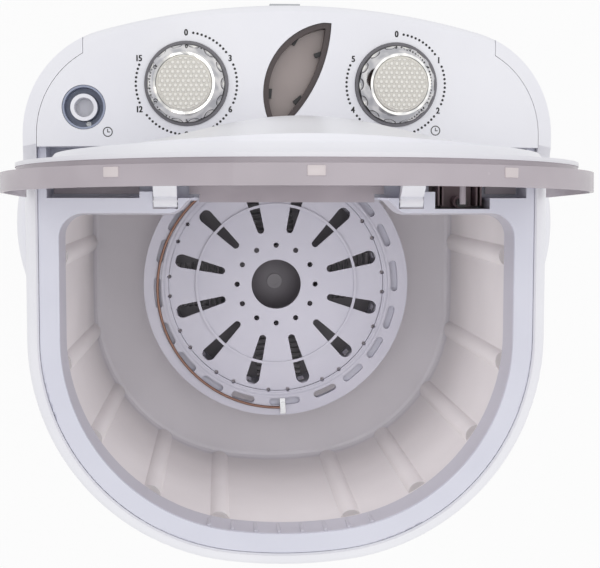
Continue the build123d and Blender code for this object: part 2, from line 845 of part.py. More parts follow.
def lid_bell(drop):
    """The crowned upper surface of the lid, turned about its middle and lowered by a drop."""
    reach = 2 * half_width
    low = rim_z + lid_plate_top - drop
    points = [(0, dome_top), *dome_slopes, dome_edge]
    curve = Spline(*points, tangents=[(1, 0), (1, dome_edge_slope)])
    far = (reach, dome_edge[1] + (reach - dome_edge[0]) * dome_edge_slope)
    edges = [curve, Line(dome_edge, far), Line(far, (reach, -dome_top)), Line((reach, -dome_top), (0, -dome_top)),
             Line((0, -dome_top), (0, dome_top))]
    bell = revolve(Plane.XZ * Face(Wire(edges)), Axis.Z)
    return Pos(0, dome_middle_y, rim_z - drop) * bell & span(-reach, reach, -reach, reach, low, 2 * rim_z)


def lid_shell():
    """The white domed top of the lid."""
    low = rim_z + lid_plate_top
    border_top = low + shell_thickness
    side = trough_half_width - lid_skirt_wall - lid_rear_clear / 2

    def dome(drop):
        base = d_plan(dome_inset + drop, dome_back - drop, dome_corner_radius - drop)
        waist = d_plan(dome_inset + dome_step_run + drop, dome_back - dome_step_run - drop, dome_corner_radius - drop)
        step = rim_z + dome_edge[1] + 1.0 - drop
        body = skin(base, low if drop else border_top, waist, step)
        body += prism(waist, step, rim_z + dome_top + 10)
        return body & lid_bell(drop)

    shell = prism(d_plan(shoulder_width, lid_back, lid_corner_radius), low, border_top)
    for x in (-1, 1):
        edge = side if x > 0 else -half_width - 1
        shell -= span(edge, edge + half_width + 1 - side, hinge_y - lid_rear_clear, 2 * lid_back, rim_z, rim_z + dome_top)
    shell = shell + dome(0.0) - dome(shell_thickness)
    return opened(shell - hinge_notches())


def lid_arm(side):
    """A goose-neck arm: knuckle on the pin, neck and pad under the lid plate."""
    pad_top = rim_z + lid_plate_top - lid_plate - hinge_z
    pad = 3.0
    over_rim = hinge_drop + 1.4
    points = [(-2, 3), (8, pad_top), (46, pad_top), (46, pad_top - pad), (20, pad_top - pad), (7, over_rim),
              (3, over_rim - 1.0)]
    profile = [(hinge_y - u, hinge_z + h) for u, h in points]
    neck = extrude(Plane.YZ * Polygon(*profile, align=None), arm_width / 2, both=True)
    knuckle = Pos(0, hinge_y, hinge_z) * Rot(0, 90, 0) * Cylinder(knuckle_radius, arm_width)
    bore = Pos(0, hinge_y, hinge_z) * Rot(0, 90, 0) * Cylinder(pin_radius + running_gap, arm_width + 2)
    return opened(Pos(side * arm_x, 0, 0) * (neck + knuckle - bore))


def hinge_pins():
    """The two steel pins that the lid arms turn on."""
    length = arm_width + 2 * hinge_side_gap + 2 * pin_seat
    parts = []
    for side in (-1, 1):
        parts.append(Pos(side * arm_x, hinge_y, hinge_z) * Rot(0, 90, 0) * Cylinder(pin_radius, length))
    return Compound(parts)


def switch_body():
    """The lid switch in the bottom of its pocket, with a guide for the plunger and two fins."""
    low = rim_z - well_depth
    top = low + switch_height
    body = span(switch_x - 11, switch_x + 11, well_front + 0.4, well_front + 22, low, top)
    body += rod(switch_x, plunger_y, low, top + guide_height, guide_radius)
    body += span(well_left + 1, well_right - 1, well_front + 0.4, well_front + 30, low, low + 2)
    fin_wall = 1.2
    for x in (-15.0, -12.0, 12.0, 15.0):
        body += span(switch_x + x, switch_x + x + fin_wall, well_front + 2, well_front + 26, low, top + 14)
    return body - rod(switch_x, plunger_y, low + 2, rim_z, plunger_radius + running_gap)


def switch_plunger():
    """The sprung plunger that the lid presses."""
    high = rim_z - plunger_top_drop
    low = rim_z - well_depth + switch_height - 4
    return rod(switch_x, plunger_y, low, high, plunger_radius) + rod(switch_x, plunger_y, high - plunger_head, high,
                                                                     plunger_head_radius)


def tub():
    """The tub: drafted walls with half-round ribs, a flat floor and a hanging flange."""
    low = tub_floor_z - tub_floor

    def plan(inset, grow):
        return d_plan(inset - grow, tub_back + grow, tub_corner_radius + grow)

    def dish(grow, floor):
        """The inside of the tub, or its outside when grown, with a round at the floor."""
        radius = tub_floor_round + grow
        body = skin(plan(tub_floor_inset, grow), floor + radius, plan(tub_top_inset, grow), tub_top_z)
        turns = [radians(90 * i / tub_round_steps) for i in range(tub_round_steps + 1)]
        for a, b in zip(turns, turns[1:]):
            body += skin(plan(tub_floor_inset, grow - radius * (1 - sin(a))), floor + radius * (1 - cos(a)),
                         plan(tub_floor_inset, grow - radius * (1 - sin(b))), floor + radius * (1 - cos(b)))
        return body

    outer = dish(tub_wall, low)
    inner = dish(0.0, tub_floor_z)
    flange_plan = d_plan(tub_flange_inset, tub_back + tub_wall, tub_corner_radius)
    flange = prism(flange_plan, tub_top_z, tub_top_z + tub_flange) - prism(plan(tub_top_inset, 0), 0, 2 * rim_z)
    body = outer - inner + flange
    for x, y, turn in rib_places():
        lean = degrees(atan2(tub_floor_inset - tub_top_inset, tub_top_z - tub_floor_z))
        length = tub_top_z - tub_floor_z - 6
        bump = Pos(0, 0, length / 2) * Cylinder(tub_rib_radius, length) + Sphere(tub_rib_radius)
        place = Pos(x, y, tub_floor_z + tub_rib_radius) * Rot(0, 0, turn) * Rot(0, lean, 0)
        body += (place * Pos(tub_rib_radius - tub_rib_height, 0, 0) * bump) & outer
    body -= rod(0, drum_y, low - 1, tub_floor_z + 1, seal_radius)
    body -= rod(drain_x, drain_y, low - 1, tub_floor_z + 1, drain_bore)
    return body


def rib_places():
    """Foot of each wall rib: along the left side, round the front and up the right side."""
    places = []
    inset = tub_floor_inset
    side = half_width - inset
    for y in side_rib_places:
        places.append((side, y, 0))
        places.append((-side, y, 180))
    x0, y0 = front_corner
    r = front_corner_radius - inset
    for angle in corner_rib_angles:
        x = x0 + r * cos(radians(angle))
        y = y0 + r * sin(radians(angle))
        if x < front_edge_start(inset):
            big = front_radius - inset
            angle = degrees(atan2(-sqrt(big**2 - x**2), x))
            y = front_middle - sqrt(big**2 - x**2)
        places.append((x, y, angle))
        places.append((-x, y, 180 - angle))
    return places


def front_edge_start(inset):
    """Half the width of the shallow front arc where it meets the corner arcs."""
    x, y = front_corner
    return (front_radius - inset) * cos(atan2(front_middle - y, x))


def bearing_housing():
    """The flanged housing under the tub floor that carries the drive shaft."""
    top = tub_floor_z - tub_floor
    flange = 6.0
    body = rod(0, drum_y, top - flange, top, housing_flange_radius)
    body += rod(0, drum_y, housing_bottom, top, housing_radius)
    for i in range(6):
        rib = span(0, housing_flange_radius - 3, -2, 2, top - 26, top - flange)
        rib -= Pos(housing_flange_radius, 0, top - 30) * Rot(90, 0, 0) * Cylinder(22, 10)
        body += Pos(0, drum_y, 0) * Rot(0, 0, 60 * i) * rib
    body -= rod(0, drum_y, housing_bottom - 1, top + 1, bush_radius)
    return body - rod(0, drum_y, top - flange, top + 1, seal_radius)


def shaft_bushes():
    """Two plain bushes pressed into the housing."""
    top = tub_floor_z - tub_floor - 6.0
    inner = shaft_radius + running_gap
    lower = ring(0, drum_y, housing_bottom, housing_bottom + bush_length, bush_radius, inner)
    upper = ring(0, drum_y, top - bush_length, top, bush_radius, inner)
    return Compound([lower, upper])


def shaft_seal():
    """The rubber lip seal in the tub floor."""
    low = tub_floor_z - tub_floor - 6.0
    body = ring(0, drum_y, low, tub_floor_z + 1, seal_radius, shaft_radius + running_gap)
    lip = Pos(0, drum_y, tub_floor_z + 2.5) * Cone(seal_radius - 4, shaft_radius + 1.2, 3)
    return body + (lip - rod(0, drum_y, low, tub_floor_z + 9, shaft_radius + running_gap))


def drive_shaft():
    """The upright shaft from the big pulley to the pulsator."""
    return rod(0, drum_y, belt_z - 18, hub_top - 4, shaft_radius)


def pulsator():
    """The grey agitator disc: a low domed hub and four ladders of slots."""
    disc = rod(0, 0, pulsator_bottom, pulsator_top, pulsator_radius)
    ball_radius = (hub_radius**2 + hub_height**2) / (2 * hub_height)
    dome = Pos(0, 0, hub_top - ball_radius) * Sphere(ball_radius) & rod(0, 0, pulsator_bottom, hub_top + 1, hub_radius)
    body = disc + dome
    count = int((ladder_end - ladder_start) / ladder_pitch) + 1
    for arm in range(4):
        for i in range(count):
            x = ladder_start + i * ladder_pitch
            half = min(ladder_half_width, sqrt(max(1.0, (pulsator_radius - 4) ** 2 - (x + ladder_slot) ** 2)))
            slot = span(x, x + ladder_slot, -half, half, pulsator_bottom - 1, pulsator_top + 1)
            body -= Rot(0, 0, ladder_turn + 90 * arm) * slot
    body -= rod(0, 0, pulsator_bottom - 1, hub_top - 4, shaft_radius)
    body -= rod(0, 0, hub_top - hub_cap_seat, hub_top + 1, hub_cap_radius)
    return Pos(0, drum_y, 0) * body


def pulsator_cap():
    """The small cap over the pulsator screw."""
    low = hub_top - hub_cap_seat
    cap = rod(0, drum_y, low, low + hub_cap_height, hub_cap_radius)
    return cap - rod(0, drum_y, low + hub_cap_height - 0.6, low + hub_cap_height + 1, hub_cap_radius / 2)


def flange_slot(angle, sweep, low, high):
    """One arc-shaped slot of the basket flange, with round ends."""
    mean = (slot_band_inner + slot_band_outer) / 2
    half = (slot_band_outer - slot_band_inner) / 2
    trim = degrees(half / mean)
    start = angle - sweep / 2 + trim
    size = sweep - 2 * trim
    path = CenterArc((0, 0), mean, start, size)
    return prism(Sketch() + SlotArc(path, 2 * half), low, high)


def basket_body():
    """The perforated basket wall with its wide top flange."""
    seat = cover_seat_z
    wall_outer = basket_wall_radius + basket_wall
    low = pulsator_top
    body = ring(0, 0, low, seat, wall_outer, basket_wall_radius)
    body += ring(0, 0, basket_top_z - flange_depth, seat, flange_radius, basket_wall_radius)
    body += ring(0, 0, seat, basket_top_z, flange_radius, cover_radius + fit_gap)
    body -= ring(0, 0, basket_top_z - flange_depth - 1, basket_top_z - 3.5, flange_radius - flange_hem,
                 slot_band_outer + 2.5)
    body += ring(0, 0, basket_top_z, basket_top_z + ring_ridge_height, ring_ridge_outer, ring_ridge_inner)
    body -= ring(0, 0, basket_top_z + 0.1, basket_top_z + 2, (ring_ridge_outer + ring_ridge_inner) / 2 + 0.5,
                 (ring_ridge_outer + ring_ridge_inner) / 2 - 0.5)
    short_count = 4
    for quarter in range(4):
        start = first_slot_angle + 90 * quarter
        low_z = basket_top_z - slot_pocket_depth
        body -= flange_slot(start, long_slot_angle, low_z, basket_top_z + 1)
        for i in range(short_count):
            angle = start + 90 * (i + 1.25) / (short_count + 1.5)
            deep = quarter == 3 and i == 0 or quarter == 2 and i == 3
            bottom = basket_top_z - flange_depth - 1 if deep else low_z
            body -= flange_slot(angle, short_slot_angle, bottom, basket_top_z + 1)
    body -= edge_holes(seat - edge_hole_depth, basket_top_z + 2)
    for i in range(wall_slot_count):
        slot = span(basket_wall_radius - 2, wall_outer + 2, -wall_slot_width / 2, wall_slot_width / 2, low + 10, seat - 14)
        body -= Rot(0, 0, 360 * i / wall_slot_count) * slot
    return Pos(0, drum_y, 0) * body


def edge_holes(low, high):
    """Twelve pairs of small holes where the cover meets the flange."""
    holes = []
    for i in range(spoke_count):
        for side in (-edge_hole_spread, edge_hole_spread):
            turn = 360 * i / spoke_count + 1 + side
            holes.append(Rot(0, 0, turn) * rod(edge_hole_circle, 0, low, high, edge_hole_radius))
    return holes


def spoke_slot():
    """One tapered slot of the cover, along +X."""
    r0 = spoke_slot_inner_width / 2
    r1 = spoke_slot_outer_width / 2
    x0 = spoke_slot_inner + r0
    x1 = spoke_slot_outer - r1
    lean = asin((r1 - r0) / (x1 - x0))
    top0 = (x0 - r0 * sin(lean), r0 * cos(lean))
    top1 = (x1 - r1 * sin(lean), r1 * cos(lean))
    edges = [
        Line(top0, top1),
        ThreePointArc(top1, (x1 + r1, 0), (top1[0], -top1[1])),
        Line((top1[0], -top1[1]), (top0[0], -top0[1])),
        ThreePointArc((top0[0], -top0[1]), (x0 - r0, 0), top0),
    ]
    return Face(Wire(edges))


def basket_cover():
    """The disc on top of the basket: tapered slots, two rings of holes and a thin ridge."""
    low = cover_seat_z
    high = low + cover_thickness
    disc = rod(0, 0, low, high, cover_radius)
    for i in range(spoke_count):
        turn = 360 * i / spoke_count
        disc -= Rot(0, 0, turn + spoke_offset) * prism(spoke_slot(), low - 1, high + 1)
        disc -= Rot(0, 0, turn) * rod(cover_hole_circle, 0, low - 1, high + 1, cover_hole_radius)
    disc -= edge_holes(low - 1, high + 1)
    disc -= rod(0, 0, low - 1, high + 1, centre_hole_radius)
    disc += ring(0, 0, high - 1.5, high + cover_ridge_height, cover_ridge_outer, cover_ridge_inner)
    return Pos(0, drum_y, 0) * disc


def retaining_wire():
    """The springy wire that lies half way round the flange."""
    place = Pos(wire_shift_x, drum_y + wire_shift_y, basket_top_z + wire_radius) * Rot(0, 0, wire_start)
    section = Plane.XZ * Pos(wire_ring_radius, 0) * Circle(wire_radius)
    return place * revolve(section, Axis.Z, wire_sweep)


def wire_clip():
    """The small steel clip that holds the end of the wire."""
    low = basket_top_z
    width = 4.4
    strip = span(slot_band_inner, flange_radius - 1, -width / 2, width / 2, low, low + 0.8)
    strip -= span(slot_band_outer + 1.5, flange_radius - 3, -width / 4, width / 4, low - 1, low + 2)
    bridge_low = low + 2 * wire_radius + fit_gap
    centre = wire_ring_radius + 3.2
    bridge = span(centre - 4, centre + 4, -width / 2, width / 2, low, bridge_low + 0.8)
    bridge -= span(centre - 3.2, centre + 3.2, -width, width, low - 1, bridge_low)
    clip = strip + bridge
    clip -= span(centre - 3.2, centre + 3.2, -width, width, low + 0.8, bridge_low)
    groove = Pos(wire_shift_x, drum_y + wire_shift_y, low + wire_radius) * Torus(wire_ring_radius, wire_radius + fit_gap)
    return Pos(0, drum_y, 0) * Rot(0, 0, wire_start + wire_sweep) * clip - groove


def pulley(x, y, seat_radius, bore, hub_radius_):
    """A flanged pulley for the flat belt."""
    half = belt_width / 2 + 0.5
    flange_r = seat_radius + belt_thickness + 1
    body = rod(x, y, belt_z - half, belt_z + half, seat_radius)
    for z in (belt_z - half - pulley_flange, belt_z + half):
        body += rod(x, y, z, z + pulley_flange, flange_r)
    body += rod(x, y, belt_z - half - pulley_flange - 3, belt_z + half + pulley_flange + 2, hub_radius_)
    return body - rod(x, y, belt_z - 40, belt_z + 40, bore)


def drive_pulley():
    """The large pulley, dished on both faces to leave a web."""
    half = belt_width / 2 + 0.5 + pulley_flange
    body = pulley(0, 0, drive_seat_radius, shaft_radius, pulley_hub_radius)
    dish = ring(0, 0, belt_z + 2, belt_z + half + 1, drive_seat_radius - 4, pulley_hub_radius + 1)
    body -= dish
    body -= Pos(0, 0, -half - 3) * dish
    for i in range(5):
        body -= Rot(0, 0, 72 * i) * rod(drive_seat_radius * 0.6, 0, belt_z - 20, belt_z + 20, 9)
    return Pos(0, drum_y, 0) * body


def motor_pulley():
    """The small pulley on the motor shaft."""
    return pulley(motor_x, motor_y, motor_seat_radius, motor_shaft_radius, motor_seat_radius - 3)


def belt_plan(extra):
    """The loop round both pulleys, grown by extra from the pulley seats."""
    r0 = drive_seat_radius + extra
    r1 = motor_seat_radius + extra
    dx = motor_x
    dy = motor_y - drum_y
    length = hypot(dx, dy)
    heading = degrees(atan2(dy, dx))
    swing = degrees(asin((r0 - r1) / length))

    def at(x, y, r, angle):
        return x + r * cos(radians(angle)), y + r * sin(radians(angle))

    up = heading + 90 - swing
    down = heading - 90 + swing
    edges = [
        Line(at(0, drum_y, r0, up), at(motor_x, motor_y, r1, up)),
        CenterArc((motor_x, motor_y), r1, down, up - down),
        Line(at(motor_x, motor_y, r1, down), at(0, drum_y, r0, down)),
        CenterArc((0, drum_y), r0, up, 360 - (up - down)),
    ]
    return Face(Wire(edges))


def drive_belt():
    """The flat rubber belt."""
    low = belt_z - belt_width / 2
    high = belt_z + belt_width / 2
    return prism(belt_plan(belt_gap + belt_thickness), low, high) - prism(belt_plan(belt_gap), low - 1, high + 1)


def motor_bracket():
    """The steel plate that the motor stands on."""
    low = pillar_top
    plate = Pos(motor_x, motor_y, low + bracket_thickness / 2) * Box(bracket_side, bracket_side, bracket_thickness)
    plate = fillet(plate.edges().filter_by(Axis.Z), 12)
    for x in (-pillar_offset, pillar_offset):
        for y in (-pillar_offset, pillar_offset):
            plate -= rod(motor_x + x, motor_y + y, low - 1, low + 10, bolt_radius + fit_gap)
    return plate


def motor_body():
    """The motor can with its two end bells and cooling slots."""
    low = pillar_top + bracket_thickness
    high = low + motor_height
    can = rod(motor_x, motor_y, low, high, motor_radius)
    can = fillet(can.faces().sort_by(Axis.Z)[-1].edges(), 6)
    can += rod(motor_x, motor_y, high, high + 5, 14)
    bores = rod(motor_x, motor_y, low + 8, high + 6, motor_shaft_radius + running_gap)
    slot_count = 12
    for i in range(slot_count):
        slot = span(motor_radius - 5, motor_radius + 1, -2.5, 2.5, low + 12, high - 14)
        bores += Pos(motor_x, motor_y, 0) * Rot(0, 0, 360 * i / slot_count) * slot
    return can - bores


def motor_shaft():
    """The motor's shaft."""
    low = pillar_top + bracket_thickness + 10
    return rod(motor_x, motor_y, low, belt_z + 14, motor_shaft_radius)


def motor_bolts():
    """Four hexagon bolts through the bracket into the pillars."""
    low = pillar_top + bracket_thickness
    parts = []
    for x in (-pillar_offset, pillar_offset):
        for y in (-pillar_offset, pillar_offset):
            head = extrude(Pos(motor_x + x, motor_y + y, low) * RegularPolygon(4.6, 6), 3.5)
            shank = rod(motor_x + x, motor_y + y, low - 16, low, bolt_radius - 0.1)
            parts.append(head + shank)
    return Compound(parts)


def capacitor():
    """The run capacitor, lying in its cradle."""
    z = foot_height + pan_floor + capacitor_radius + capacitor_rise
    can = Pos(capacitor_x, capacitor_y, z) * Rot(0, 90, 0) * Cylinder(capacitor_radius, capacitor_length)
    return fillet(can.faces().sort_by(Axis.X)[0].edges(), 3)


def capacitor_cradle():
    """The cradle for the capacitor on the base pan."""
    low = foot_height + pan_floor
    z = low + capacitor_radius + capacitor_rise
    half = capacitor_radius + cradle_margin
    block = span(capacitor_x - cradle_half_width, capacitor_x + cradle_half_width,
                 capacitor_y - half, capacitor_y + half, low, z)
    bore = Cylinder(capacitor_radius + fit_gap / 3, 4 * cradle_half_width)
    return block - Pos(capacitor_x, capacitor_y, z) * Rot(0, 90, 0) * bore


def drain_joint_y():
    """Where the drain pipe inside meets the spigot, just clear of the curved wall."""
    outermost = abs(drain_x) + drain_radius + drain_collar
    return back_y(outermost, drain_z - drain_radius - drain_collar, casing_wall) - drain_collar_width


def drain_elbow():
    """The drain pipe from the tub floor down and back to the casing wall."""
    top = tub_floor_z - tub_floor
    reach = drain_joint_y() - drain_y

    def path(radius, extra):
        down = rod(drain_x, drain_y, drain_z, top + extra, radius)
        knee = Pos(drain_x, drain_y, drain_z) * Sphere(radius)
        back = Pos(drain_x, drain_y + (reach + extra) / 2, drain_z) * Rot(90, 0, 0) * Cylinder(radius, reach + extra)
        return down + knee + back

    return path(drain_radius, 0) - path(drain_bore, 2)


def drain_spigot():
    """The stub through the casing that the drain hose pushes onto."""

    def along(radius, start, end):
        return Pos(drain_x, (start + end) / 2, drain_z) * Rot(90, 0, 0) * Cylinder(radius, end - start)

    start = drain_joint_y()
    shoulder = back_y(abs(drain_x) - drain_radius, drain_z) + fit_gap
    end = shoulder + drain_stub_length
    pipe = along(drain_radius, start, shoulder) + along(drain_stub_radius, shoulder - 1, end)
    pipe += along(drain_radius + drain_collar, start, start + drain_collar_width)
    return pipe - along(drain_stub_bore, start - 1, end + 1)


def cord_gland():
    """The rubber gland in the back wall for the mains lead."""
    length = 16.0
    collar = 2.5
    wall_y = back_y(gland_x + gland_radius + collar, gland_z - gland_radius - collar, casing_wall)
    start = wall_y - 4
    body = Pos(gland_x, start + length / 2, gland_z) * Rot(90, 0, 0) * Cylinder(gland_radius, length)
    body += Pos(gland_x, start + 2, gland_z) * Rot(90, 0, 0) * Cylinder(gland_radius + collar, 4)
    return body - Pos(gland_x, start + length / 2, gland_z) * Rot(90, 0, 0) * Cylinder(gland_bore, length + 2)


def hose_hook():
    """The open bracket at the top of the back that parks the drain hose."""
    high = rim_z - hook_drop
    low = high - hook_height
    face = back_y(0, draft_top)
    block = span(-hook_half_width, hook_half_width, face - 4, face + hook_reach, low, high)
    block -= span(-hook_slot_half_width, hook_slot_half_width, face - 5, face + hook_reach - hook_wall,
                  low + hook_wall, high + 1)
    return block - body_block(0, low - 1, high + 1) if low > draft_top else block


def write(name, shape):
    """Save one named piece."""
    export_step(shape, f"parts/{name}.step")


def main():
    os.makedirs("parts", exist_ok=True)
    pieces = {
        "outer_casing": outer_casing,
        "base_pan": base_pan,
        "feet": feet,
        "rear_cover": rear_cover,
        "rear_cover_screws": rear_cover_screws,
        "handle_left": lambda: side_handle(-1),
        "handle_right": lambda: side_handle(1),
        "top_frame": top_frame,
        "control_panel": control_panel,
        "window_frame": window_frame,
        "window_lens": window_lens,
        "window_clips": window_clips,
        "wash_bezel": lambda: bezel(-1),
        "spin_bezel": lambda: bezel(1),
        "wash_knob_ring": lambda: knob_ring(-1),
        "spin_knob_ring": lambda: knob_ring(1),
        "wash_knob_cap": lambda: knob_cap(-1),
        "spin_knob_cap": lambda: knob_cap(1),
        "wash_shaft": lambda: knob_shaft(-1),
        "spin_shaft": lambda: knob_shaft(1),
        "wash_timer": lambda: timer(-1),
        "spin_timer": lambda: timer(1),
        "inlet_cup": inlet_cup,
        "inlet_spigot": inlet_spigot,
        "inlet_elbow": inlet_elbow,
        "inlet_screw": inlet_screw,
        "lid_tray": lid_tray,
        "lid_shell": lid_shell,
        "lid_arm_left": lambda: lid_arm(-1),
        "lid_arm_right": lambda: lid_arm(1),
        "hinge_pins": hinge_pins,
        "switch_body": switch_body,
        "switch_plunger": switch_plunger,
        "tub": tub,
        "bearing_housing": bearing_housing,
        "shaft_bushes": shaft_bushes,
        "shaft_seal": shaft_seal,
        "drive_shaft": drive_shaft,
        "pulsator": pulsator,
        "pulsator_cap": pulsator_cap,
        "basket_body": basket_body,
        "basket_cover": basket_cover,
        "retaining_wire": retaining_wire,
        "wire_clip": wire_clip,
        "drive_pulley": drive_pulley,
        "drive_belt": drive_belt,
        "motor_pulley": motor_pulley,
        "motor_shaft": motor_shaft,
        "motor_body": motor_body,
        "motor_bracket": motor_bracket,
        "motor_bolts": motor_bolts,
        "capacitor": capacitor,
        "capacitor_cradle": capacitor_cradle,
        "drain_elbow": drain_elbow,
        "drain_spigot": drain_spigot,
        "cord_gland": cord_gland,
        "hose_hook": hose_hook,
    }
    for name, make in pieces.items():
        write(name, make())


main()
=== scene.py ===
"""Looks for a small top-loading washing machine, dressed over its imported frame. Lengths are in metres."""
import json
from math import atan2, cos, hypot, radians, sin, sqrt, tan

import bmesh
import bpy
from mathutils import Matrix, Vector


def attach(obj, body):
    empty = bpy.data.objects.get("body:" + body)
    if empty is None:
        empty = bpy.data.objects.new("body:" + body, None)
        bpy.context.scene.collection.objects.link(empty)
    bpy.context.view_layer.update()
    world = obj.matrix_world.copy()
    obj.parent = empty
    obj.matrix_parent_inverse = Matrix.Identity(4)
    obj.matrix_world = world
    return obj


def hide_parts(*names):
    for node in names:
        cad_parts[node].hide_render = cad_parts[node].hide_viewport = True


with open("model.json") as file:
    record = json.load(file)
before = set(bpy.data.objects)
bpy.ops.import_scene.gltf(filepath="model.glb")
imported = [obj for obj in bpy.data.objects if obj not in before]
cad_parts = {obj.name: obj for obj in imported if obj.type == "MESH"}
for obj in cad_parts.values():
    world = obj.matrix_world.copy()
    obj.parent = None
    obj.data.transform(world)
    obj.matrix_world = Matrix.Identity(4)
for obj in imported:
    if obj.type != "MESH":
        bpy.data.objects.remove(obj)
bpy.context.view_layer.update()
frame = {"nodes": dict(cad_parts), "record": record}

# Levels and sizes shared with the frame
RIM = 0.465
CROWN_RADIUS = 0.765
CROWN_TILT = radians(2.0)
PANEL_TOP = RIM + 0.033
KNOB_X = 0.0697
KNOB_Y = 0.1345
INLET_PLACE = (-0.1381, 0.1193)
INLET_BORE = 0.0070
STRAINER_Z = RIM + 0.0015
CAP_FIELD = 0.0170
CAP_LIFT = 0.0150
LID_ANGLE = radians(92.3)
HINGE_Y = 0.0565
HINGE_Z = RIM - 0.002

# Plan of the body and its mouth
BODY_FRONT = -0.2003
FRONT_RADIUS = 0.3266
FRONT_CORNER_RADIUS = 0.1594
FRONT_CORNER = (0.0216, -0.039499)
MOUTH_INSET = 0.0230
LIP_DEPTH = 0.027
TROUGH_FRONT = 0.0570
# Heights over which the painted shade on the lip inside the mouth fades into the deck's own colour
LIP_SHADE_LEVELS = (RIM - 0.004, RIM - 0.001)
# Heights over which the painted shade on the tub floor fades into the wall colour
FLOOR_SHADE_LEVELS = (0.212, 0.222)

# Ribs inside the front of the mouth
RIB_COUNT = 8
RIB_PITCH = 0.0165
RIB_MIDDLE = 0.0017
RIB_SINK = 0.0008
RIB_WIDTH = 0.0026
RIB_DEPTH = 0.002
RIB_HEIGHT = LIP_DEPTH - 0.002
RIB_TOP = RIM - 0.003

# Catches in the skirt of the closed lid
CATCH_ACROSS = (-0.105, 0.0, 0.105)
CATCH_Z = RIM + 0.0081
CATCH_SIZE = (0.0094, 0.0012, 0.0054)
SLOPE_STEP = 0.001
SOFT_EDGE = 0.0005

# Marks round the dials
MARK_RADIUS = 0.0334
MARK_HEIGHT = 0.0041
DOT_COUNT = 10
DOT_STEP = 4.85
DOT_RADIUS = 0.00082
INK_LIFT = 0.00012
DOT_SIDES = 16
FIGURE_ANGLE = 60
FIGURE_SQUEEZE = 0.84
WIDE_SHIFT = 0.0024
BOLD_SHIFT = 0.00014

# Clock marks: the ring, and each hand as its width, height and place
CLOCK_RING = (0.0033, 0.0027)
MINUTE_HAND = (0.0005, 0.0021, (-0.0001, 0.0009))
HOUR_HAND = (0.0019, 0.0005, (0.0006, -0.0001))
WASH_CLOCK = (-0.1221, 0.1029)
SPIN_CLOCK = (0.0971, 0.1044)
ROUND_SIDES = 48

# Camera of the photograph: just behind the hinge line and left of the middle, looking nearly straight down
CAMERA_PLACE = Vector((-0.0519, 0.0744, RIM + 0.950))
CAMERA_RIGHT = Vector((0.99804939, 0.0017399, 0.06240501))
CAMERA_FORWARD = Vector((0.06234797, -0.07877371, -0.99494092))
CAMERA_FOCAL = 1377.5
PHOTO_WIDTH = 600.0
SENSOR = 36.0

# Light
WORLD_STRENGTH = 0.85
FLOOR_GLOW = 0.9
FLOOR_SIZE = 6.0
WHITE = (1.0, 1.0, 1.0, 1.0)
LAMP_SIZE = (0.9, 0.9)
GLOW_RADIUS = 0.05


class Flow:
    """A shader socket that takes part in plain sums."""

    def __init__(self, shade, socket):
        self.shade = shade
        self.socket = socket

    def sum(self, operation, other, swap=False):
        pair = [other, self] if swap else [self, other]
        return self.shade.node("Math", {"operation": operation}, *pair)

    def __add__(self, other):
        return self.sum("ADD", other)

    __radd__ = __add__

    def __mul__(self, other):
        return self.sum("MULTIPLY", other)

    __rmul__ = __mul__

    def __sub__(self, other):
        return self.sum("SUBTRACT", other)

    def __rsub__(self, other):
        return self.sum("SUBTRACT", other, swap=True)

    def __truediv__(self, other):
        return self.sum("DIVIDE", other)

    def __pow__(self, other):
        return self.sum("POWER", other)

    def over(self, limit):
        """1 where this is above the limit, else 0."""
        return self.sum("GREATER_THAN", limit)

    def low(self, other):
        return self.sum("MINIMUM", other)

    def high(self, other):
        return self.sum("MAXIMUM", other)

    def ease(self, start, end):
        """A smooth step from 0 at start to 1 at end."""
        settings = {"interpolation_type": "SMOOTHSTEP"}
        return self.shade.node("MapRange", settings, self, start, end, 0.0, 1.0)


class Shade:
    """One material and the nodes that make it."""

    def __init__(self, name):
        self.material = bpy.data.materials.new(name)
        self.material.use_nodes = True
        self.tree = self.material.node_tree
        self.tree.nodes.clear()
        self.output = self.tree.nodes.new("ShaderNodeOutputMaterial")
        self.body = self.tree.nodes.new("ShaderNodeBsdfPrincipled")
        self.tree.links.new(self.body.outputs[0], self.output.inputs[0])
        self._place = None

    def node(self, kind, settings, *values, out=0, **named):
        """A node of a kind, with its settings and the values or links of its sockets."""
        made = self.tree.nodes.new("ShaderNode" + kind)
        for key, value in settings.items():
            setattr(made, key, value)
        for socket, value in list(enumerate(values)) + list(named.items()):
            self.feed(made.inputs[socket.replace("_", " ") if isinstance(socket, str) else socket], value)
        return Flow(self, made.outputs[out])

    def feed(self, socket, value):
        if isinstance(value, Flow):
            self.tree.links.new(value.socket, socket)
        elif value is not None:
            socket.default_value = value

    def set(self, **values):
        """Sets sockets of the shader by name."""
        for key, value in values.items():
            self.feed(self.body.inputs[key.replace("_", " ")], value)
        return self

    def place(self):
        """The point of the surface, in the object's own metres."""
        if self._place is None:
            self._place = self.node("TexCoord", {}, out=3)
        return self._place

    def axis(self, name):
        """One coordinate of the surface point."""
        index = "XYZ".index(name)
        return self.node("SeparateXYZ", {}, self.place(), out=index)

    def noise(self, scale, detail=3.0, rough=0.5, stretch=None):
        """Noise of a number of grains per metre, from 0 to 1."""
        point = self.place()
        if stretch is not None:
            point = self.node("VectorMath", {"operation": "MULTIPLY"}, point, stretch)
        return self.node("TexNoise", {}, Vector=point, Scale=scale, Detail=detail, Roughness=rough)

    def mix(self, factor, low, high):
        """A colour between two."""
        made = self.tree.nodes.new("ShaderNodeMix")
        made.data_type = "RGBA"
        self.feed(made.inputs[0], factor)
        self.feed(made.inputs[6], low)
        self.feed(made.inputs[7], high)
        return Flow(self, made.outputs[2])

    def bump(self, height, distance):
        """A normal from a height between 0 and 1 of a depth in metres."""
        return self.node("Bump", {}, Strength=1.0, Distance=distance, Height=height)


